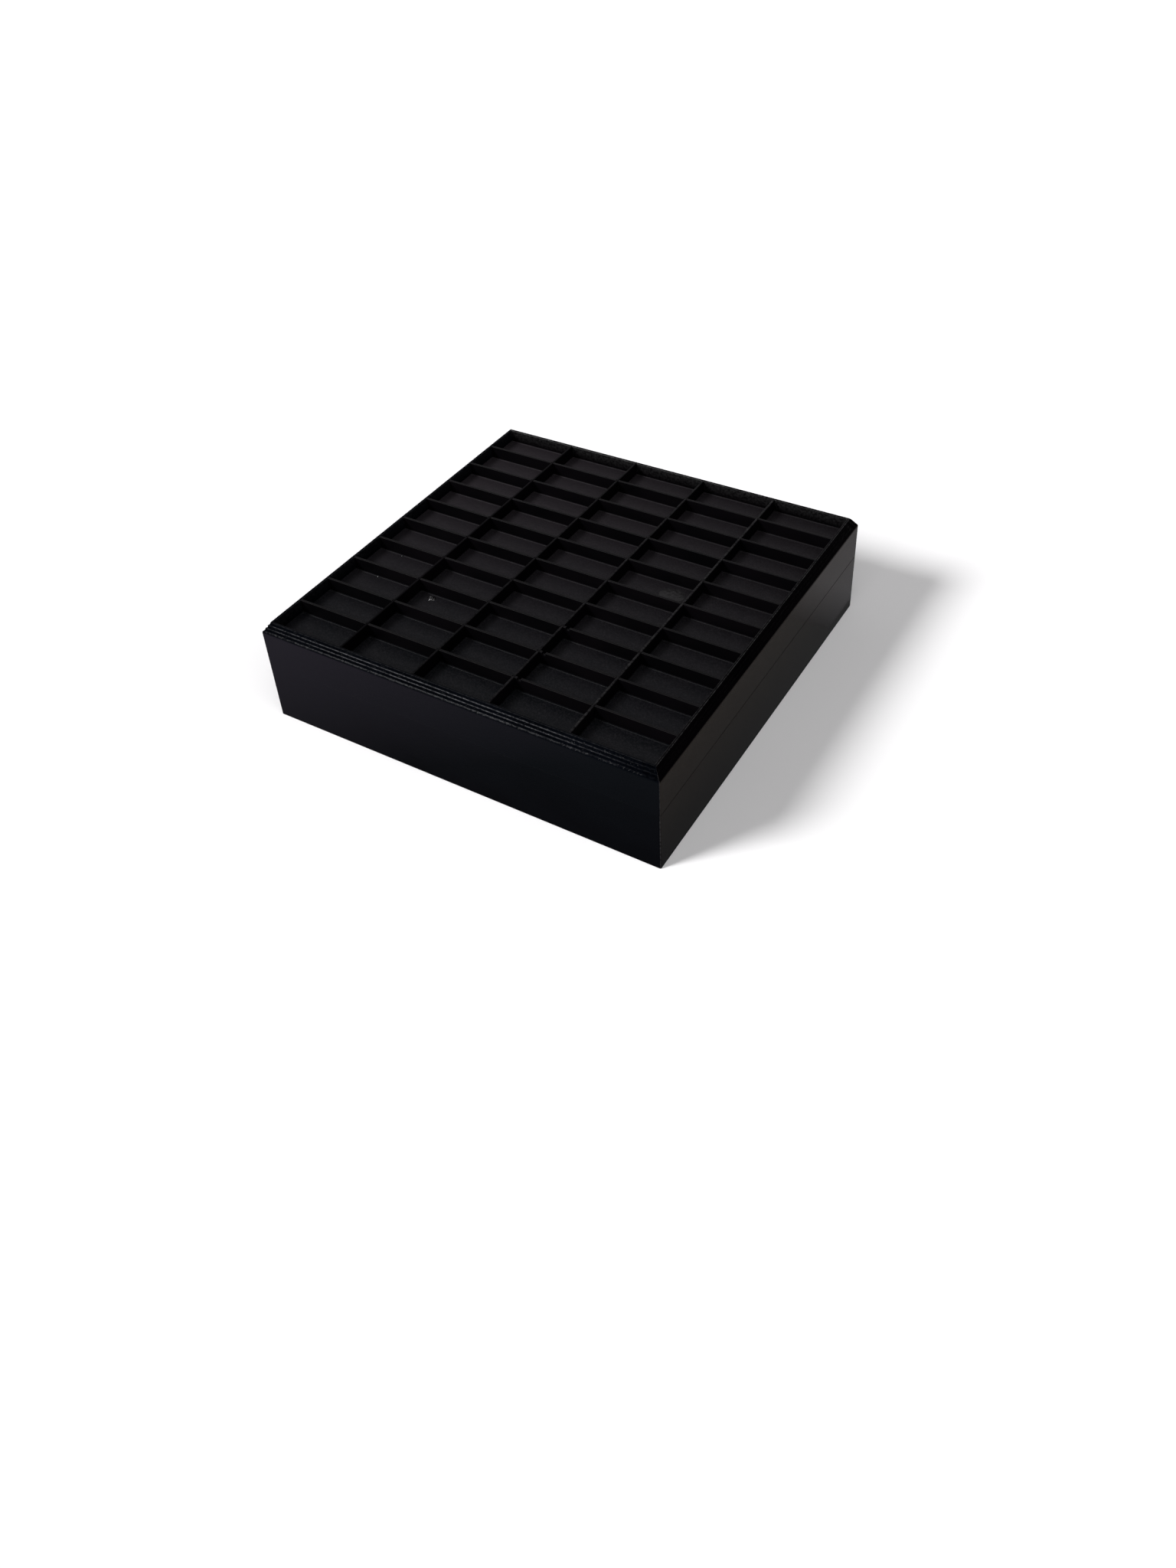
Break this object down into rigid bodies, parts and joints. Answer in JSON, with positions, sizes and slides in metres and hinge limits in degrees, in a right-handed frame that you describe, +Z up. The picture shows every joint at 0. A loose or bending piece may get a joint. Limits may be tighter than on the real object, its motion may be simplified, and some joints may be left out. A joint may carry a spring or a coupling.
{
  "type": "coin display tray",
  "caption": "Square black tray of shallow rectangular pockets in a chamfered frame, lifting off an open storage box that locates it.",
  "frame": {"origin": "centre of the underside, in the plane of the surface that the object stands on", "axes": "+Z up, out of the pockets; +X to the right, across the five columns; the front faces -Y"},
  "size_m": [0.1352, 0.1342, 0.0355],
  "materials": {
    "box_plastic": "satin black plastic with fine horizontal layer lines",
    "tray_frame_plastic": "satin black plastic with fine layer lines, stepped along the chamfer",
    "deck_plastic": "matte black plastic with fine parallel strokes",
    "divider_plastic": "satin black plastic with fine layer lines"
  },
  "bodies": {
    "storage_box": {"base_floor": "box_plastic", "base_wall_front": "box_plastic", "base_wall_right": "box_plastic", "base_wall_back": "box_plastic", "base_wall_left": "box_plastic", "locating_strip_front": "box_plastic", "locating_strip_right": "box_plastic", "locating_strip_back": "box_plastic", "locating_strip_left": "box_plastic"},
    "display_tray": {"tray_deck": "deck_plastic", "tray_rail_front": "tray_frame_plastic", "tray_rail_right": "tray_frame_plastic", "tray_rail_back": "tray_frame_plastic", "tray_rail_left": "tray_frame_plastic", "divider_long_1": "divider_plastic", "divider_long_2": "divider_plastic", "divider_long_3": "divider_plastic", "divider_long_4": "divider_plastic", "divider_cross_1": "divider_plastic", "divider_cross_2": "divider_plastic", "divider_cross_3": "divider_plastic", "divider_cross_4": "divider_plastic", "divider_cross_5": "divider_plastic", "divider_cross_6": "divider_plastic", "divider_cross_7": "divider_plastic", "divider_cross_8": "divider_plastic", "divider_cross_9": "divider_plastic"}
  },
  "joints": [
    {"name": "tray_lift", "type": "slide", "parent": "storage_box", "child": "display_tray", "axis": [0, 0, 1], "range_m": [0, 0.04]}
  ]
}
